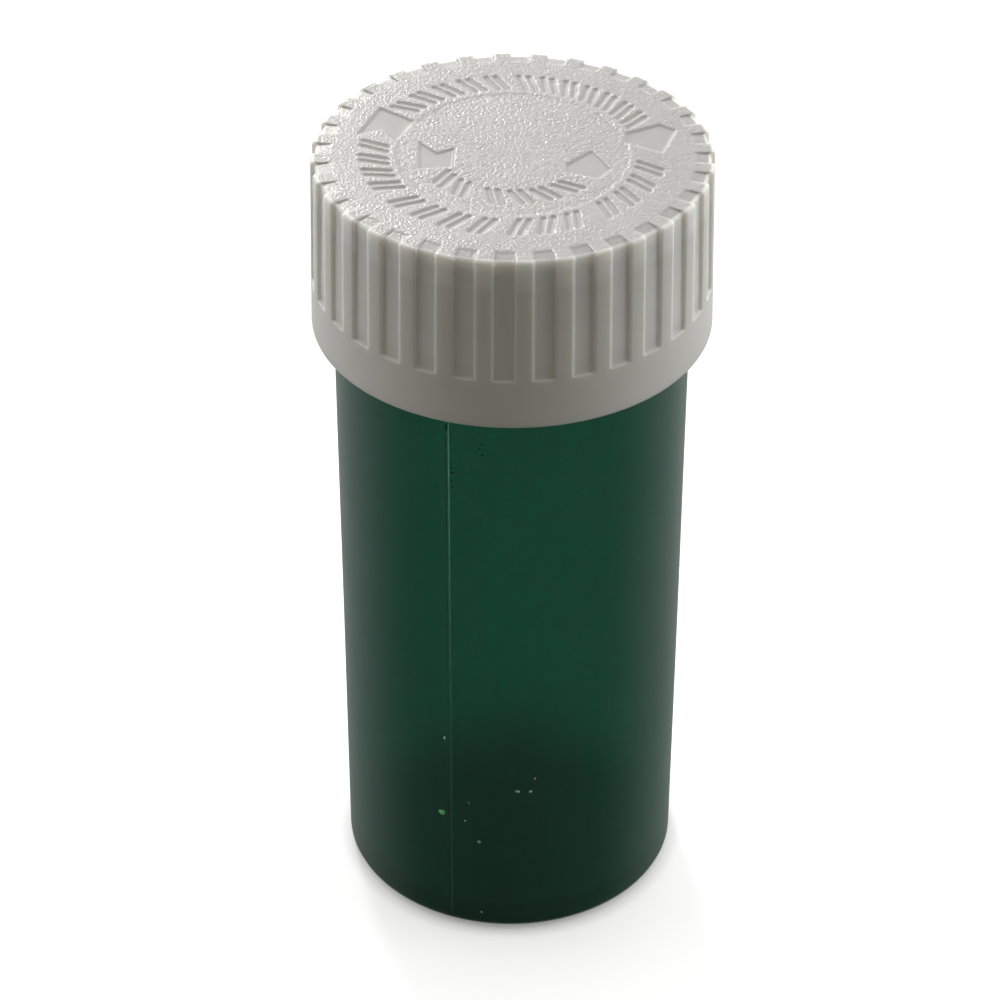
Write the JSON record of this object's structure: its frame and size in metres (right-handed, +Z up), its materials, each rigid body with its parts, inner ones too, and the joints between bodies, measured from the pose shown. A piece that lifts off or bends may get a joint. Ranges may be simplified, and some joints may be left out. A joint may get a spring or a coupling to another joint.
{
  "type": "prescription vial",
  "caption": "Cylindrical translucent green medicine vial with a ribbed, milky white push-down-and-turn child-resistant closure.",
  "frame": {"origin": "centre of the vial's standing face, on the plane it stands on", "axes": "+Z up along the shared axis of the vial and the closure, -Y towards the front of the closure's top, +X to the right seen from the front"},
  "size_m": [0.0392, 0.0392, 0.084],
  "materials": {
    "green_polypropylene": "translucent deep green, moulded, satin gloss",
    "liner_foam": "soft, matte white",
    "inner_white_polypropylene": "satin, natural white",
    "spring_acetal": "satin, natural white",
    "milky_polypropylene": "translucent milky white, fine spark-eroded top with polished debossed marks"
  },
  "bodies": {
    "vial": {"vial": "green_polypropylene"},
    "liner": {"seal_liner": "liner_foam"},
    "inner_cap": {"inner_cap": "inner_white_polypropylene"},
    "spring": {"spring_disc": "spring_acetal"},
    "outer_cap": {"outer_cap": "milky_polypropylene"}
  },
  "joints": [
    {"name": "cap_lift", "type": "slide", "parent": "vial", "child": "liner", "axis": [0, 0, 1], "range_m": [0, 0.016]},
    {"name": "cap_unscrew", "type": "hinge", "parent": "liner", "child": "inner_cap", "pos_m": [0, 0, 0.073], "axis": [0, 0, 1], "range_deg": [0, 720]},
    {"name": "overcap_spin", "type": "hinge", "parent": "inner_cap", "child": "spring", "pos_m": [0, 0, 0.0803], "axis": [0, 0, 1], "continuous": true},
    {"name": "push_down", "type": "slide", "parent": "spring", "child": "outer_cap", "axis": [0, 0, -1], "range_m": [0, 0.001], "stiffness_N_per_m": 2000, "springref_m": -0.0015, "deforming": ["spring_disc"]}
  ],
  "couplings": [
    {"joint": "cap_lift", "follows": "cap_unscrew", "m_per_rad": 0.0012732}
  ]
}
